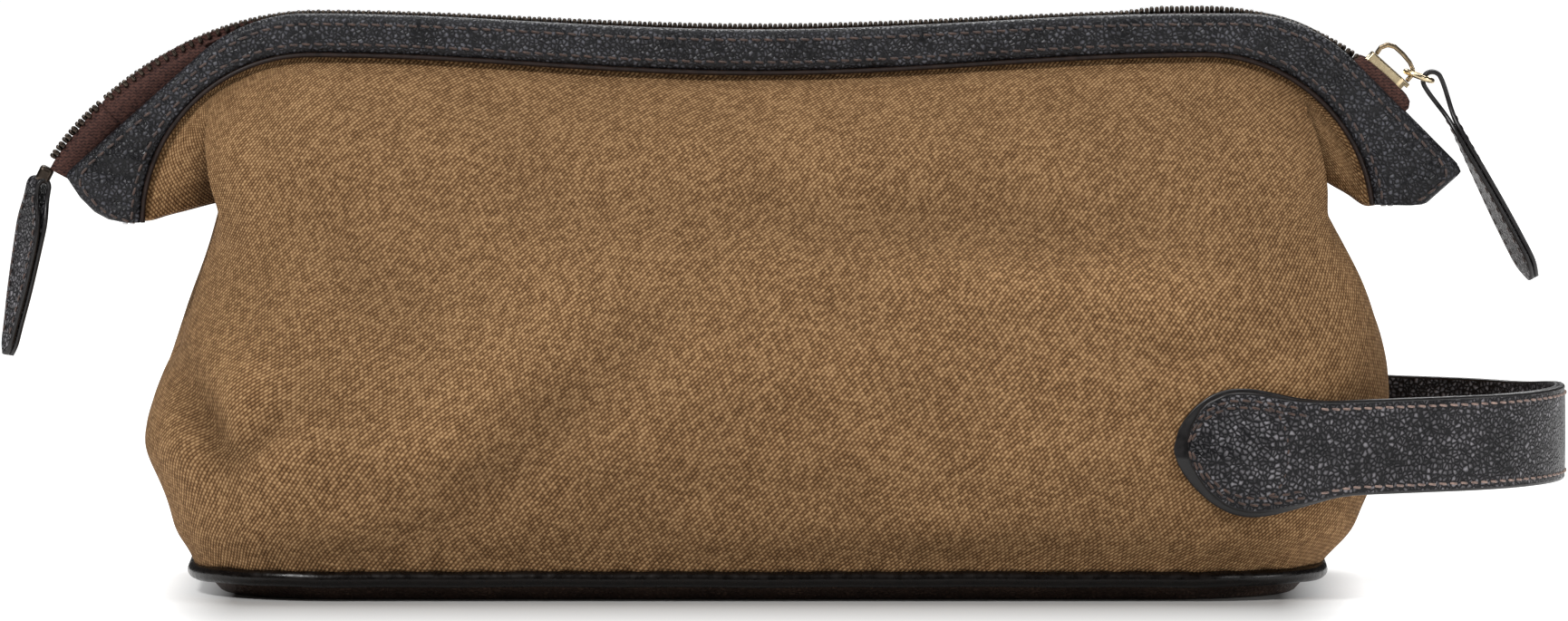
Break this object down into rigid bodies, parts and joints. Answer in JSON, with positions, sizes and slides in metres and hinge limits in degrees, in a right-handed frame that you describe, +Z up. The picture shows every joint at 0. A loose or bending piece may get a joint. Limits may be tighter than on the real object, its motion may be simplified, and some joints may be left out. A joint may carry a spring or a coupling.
{
  "type": "framed wash bag with zip mouth and side strap",
  "caption": "Soft twill wash bag on a piped leather base, with a hinged frame mouth cased in leather, a zip with slider, ring and leather pull, and a side carry strap.",
  "frame": {"origin": "middle of the flat underside, on the surface the bag stands on", "axes": "+X along the zip towards the carry strap, -Y the front, +Z up"},
  "size_m": [0.3462, 0.1282, 0.1282],
  "materials": {
    "twill": "heavy cotton twill, brushed, fine diagonal rib",
    "lining": "plain-weave cotton lining",
    "leather": "pebble-grain leather, satin, near black",
    "leather_edge": "painted edge, semi-gloss black",
    "base_leather": "smooth dark brown leather",
    "piping": "glossy black leather",
    "cord": "twisted cotton",
    "board": "stiffening board",
    "steel": "spring steel strip",
    "zip_tape": "woven tape, dark reddish brown",
    "zip_teeth": "antique finish",
    "brass": "polished"
  },
  "bodies": {
    "bag": {"base_leather": "base_leather", "base_board": "board", "base_piping": "piping", "piping_cord": "cord", "canvas_front": "twill", "canvas_back": "twill", "canvas_top_front": "twill", "canvas_top_back": "twill", "lining_front": "lining", "lining_back": "lining", "lining_floor": "lining", "lining_top_front": "lining", "lining_top_back": "lining", "hinge_rivet_left": "steel", "hinge_rivet_right": "steel", "strap_anchor_front": "leather", "strap_anchor_back": "leather", "zip_tail_tape": "zip_tape", "zip_tail_teeth": "zip_teeth", "zip_bottom_stop": "brass"},
    "front_frame": {"frame_strip_front": "steel", "trim_front": "leather", "trim_edge_front": "leather_edge", "zip_tape_front": "zip_tape", "zip_teeth_front": "zip_teeth", "zip_top_stop_front": "brass"},
    "back_frame": {"frame_strip_back": "steel", "trim_back": "leather", "trim_edge_back": "leather_edge", "zip_tape_back": "zip_tape", "zip_teeth_back": "zip_teeth", "zip_top_stop_back": "brass"},
    "slider": {"slider_body": "brass", "slider_bail": "brass"},
    "ring": {"pull_ring": "brass"},
    "pull": {"pull_leather": "leather"},
    "end_tab": {"zip_end_tab": "leather"},
    "strap": {"strap_loop_outer": "leather", "strap_loop_inner": "leather"}
  },
  "joints": [
    {"name": "mouth_front", "type": "hinge", "parent": "bag", "child": "front_frame", "pos_m": [0, 0, 0.0835], "axis": [0.9999, 0, 0.0144], "range_deg": [0, 70], "deforming": ["canvas_top_front", "lining_top_front"]},
    {"name": "mouth_back", "type": "hinge", "parent": "bag", "child": "back_frame", "pos_m": [0, 0, 0.0835], "axis": [0.9999, 0, 0.0144], "range_deg": [-70, 0], "deforming": ["canvas_top_back", "lining_top_back"]},
    {"name": "slider_travel", "type": "hinge", "parent": "back_frame", "child": "slider", "pos_m": [0.0985, 0, 0.068], "axis": [0, -1, 0], "range_deg": [0, 42]},
    {"name": "ring_swing", "type": "hinge", "parent": "slider", "child": "ring", "pos_m": [0.14288, 0, 0.11295], "axis": [0, 1, 0], "range_deg": [-60, 0]},
    {"name": "pull_swing", "type": "hinge", "parent": "ring", "child": "pull", "pos_m": [0.1487, 0, 0.11083], "axis": [0, 1, 0], "range_deg": [-90, 0]},
    {"name": "end_tab_swing", "type": "hinge", "parent": "bag", "child": "end_tab", "pos_m": [-0.15852, 0, 0.08747], "axis": [0, 1, 0], "range_deg": [-5, 50]},
    {"name": "strap_swing", "type": "hinge", "parent": "bag", "child": "strap", "pos_m": [0.141, 0, 0.0333], "axis": [0, -1, 0], "range_deg": [-20, 30], "stiffness_Nm_per_rad": 0.12}
  ],
  "couplings": [
    {"joint": "mouth_back", "follows": "mouth_front", "ratio": -1}
  ]
}
